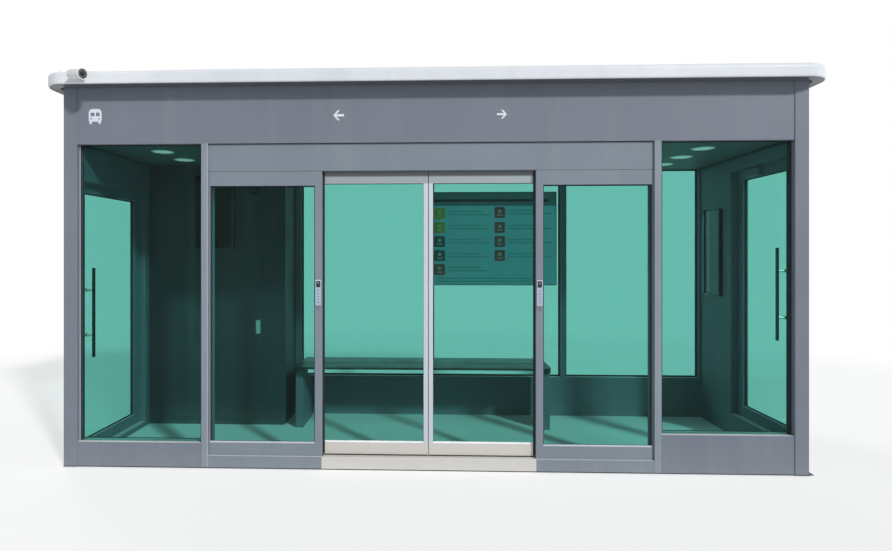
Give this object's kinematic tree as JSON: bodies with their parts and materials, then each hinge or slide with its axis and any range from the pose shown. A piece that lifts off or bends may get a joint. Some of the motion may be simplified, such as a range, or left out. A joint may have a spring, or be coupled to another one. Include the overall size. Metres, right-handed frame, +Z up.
{
  "type": "enclosed bus shelter",
  "caption": "Glazed bus shelter with grey metal frame and pale flat roof, automatic sliding front doors, hinged end doors, bench, corner cabinet and timetable board.",
  "frame": {"origin": "under the middle of the sliding doors, on the lowest ground that the shelter meets", "axes": "+X along the front to the right as seen from the street, +Y from the front to the back, +Z up"},
  "size_m": [5.64, 2.0299, 2.9],
  "materials": {
    "frame_grey": "satin powder coat",
    "roof_pale": "satin paint",
    "ceiling_white": "matt paint",
    "stainless": "brushed",
    "silver_stile": "anodised",
    "tinted_glass": "green tint",
    "black_metal": "satin black",
    "bench_metal": "satin paint",
    "lamp_lens": "frosted",
    "screen": "gloss",
    "board_face": "printed sheet",
    "switch_plate": "gloss",
    "camera_white": "gloss",
    "cabinet_grey": "satin powder coat",
    "dome_smoke": "smoked gloss"
  },
  "bodies": {
    "shelter": {"front_post_left": "frame_grey", "front_post_right": "frame_grey", "rear_post_left": "frame_grey", "rear_post_right": "frame_grey", "roof": "roof_pale", "ceiling": "ceiling_white", "downlights": "lamp_lens", "front_fascia": "frame_grey", "rear_fascia": "frame_grey", "end_fascias": "frame_grey", "front_mullions": "frame_grey", "bay_sills": "frame_grey", "bay_glass": "tinted_glass", "door_cover": "frame_grey", "door_rail": "frame_grey", "left_sidelight_frame": "frame_grey", "right_sidelight_frame": "frame_grey", "sidelight_glass": "tinted_glass", "threshold": "stainless", "rear_sill": "frame_grey", "rear_mullions": "frame_grey", "rear_service_panel": "frame_grey", "rear_glass": "tinted_glass", "timetable_board": "board_face", "end_door_frame_left": "frame_grey", "end_door_frame_right": "frame_grey", "left_end_panel": "frame_grey", "right_end_panel": "frame_grey", "end_window_glass": "tinted_glass", "wall_display": "screen", "cabinet": "cabinet_grey", "cabinet_screen": "screen", "dome_camera": "dome_smoke", "bench_seat": "bench_metal", "bench_legs": "bench_metal", "touch_plates": "switch_plate", "security_camera": "camera_white", "glazing_beads": "frame_grey"},
    "sliding_door_left": {"sliding_door_left": "silver_stile", "sliding_door_left_glass": "tinted_glass"},
    "sliding_door_right": {"sliding_door_right": "silver_stile", "sliding_door_right_glass": "tinted_glass"},
    "end_door_left": {"end_door_left": "frame_grey", "end_door_left_glass": "tinted_glass", "end_door_left_handles": "black_metal"},
    "end_door_right": {"end_door_right": "frame_grey", "end_door_right_glass": "tinted_glass", "end_door_right_handles": "black_metal"}
  },
  "joints": [
    {"name": "sliding_door_left_slide", "type": "slide", "parent": "shelter", "child": "sliding_door_left", "axis": [-1, 0, 0], "range_m": [0, 0.77]},
    {"name": "sliding_door_right_slide", "type": "slide", "parent": "shelter", "child": "sliding_door_right", "axis": [1, 0, 0], "range_m": [0, 0.77]},
    {"name": "end_door_left_hinge", "type": "hinge", "parent": "shelter", "child": "end_door_left", "pos_m": [-2.698, 0.994, 0], "axis": [0, 0, -1], "range_deg": [0, 90]},
    {"name": "end_door_right_hinge", "type": "hinge", "parent": "shelter", "child": "end_door_right", "pos_m": [2.698, 0.854, 0], "axis": [0, 0, 1], "range_deg": [0, 90]}
  ],
  "couplings": [
    {"joint": "sliding_door_right_slide", "follows": "sliding_door_left_slide", "ratio": 1}
  ]
}
